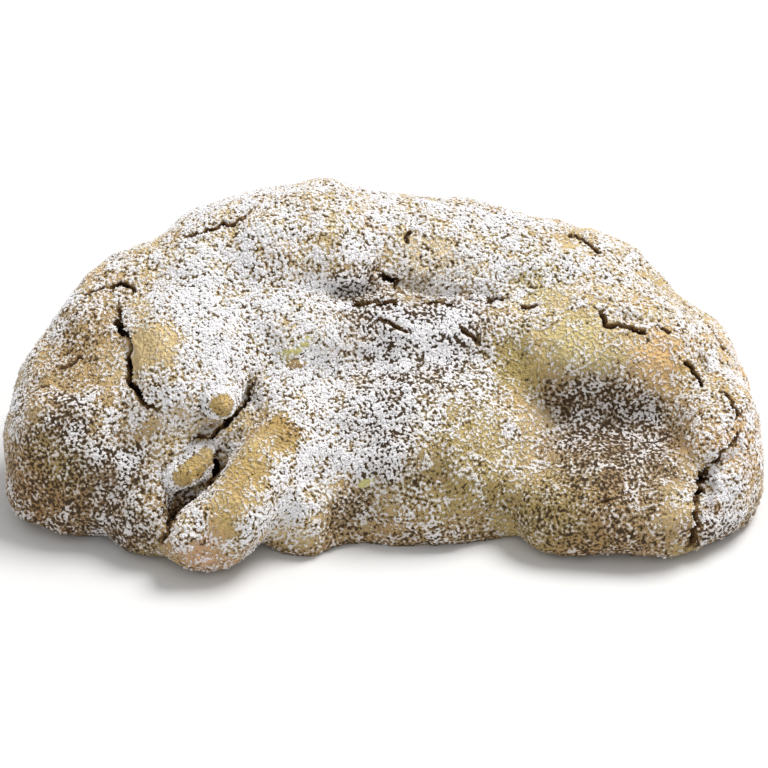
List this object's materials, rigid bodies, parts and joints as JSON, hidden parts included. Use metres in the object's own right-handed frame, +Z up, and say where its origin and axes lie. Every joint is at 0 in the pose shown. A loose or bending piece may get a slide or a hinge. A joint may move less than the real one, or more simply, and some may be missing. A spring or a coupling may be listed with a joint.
{
  "type": "pistachio paste cookie",
  "caption": "Hand-squeezed soft almond and pistachio paste cookie, one lumpy piece with creases, cracks and nubs under icing sugar, resting on its flat base.",
  "frame": {"origin": "middle of the cookie's length and depth, on the surface it rests on", "axes": "+X along the cookie to its broad right end, +Y to its high back ridge, +Z up"},
  "size_m": [0.068, 0.0386, 0.0228],
  "materials": {
    "sugared_crust": "matte baked almond dough, yellow-green to tan, dusted with white icing sugar"
  },
  "bodies": {
    "root": {"cookie": "sugared_crust"}
  },
  "joints": []
}
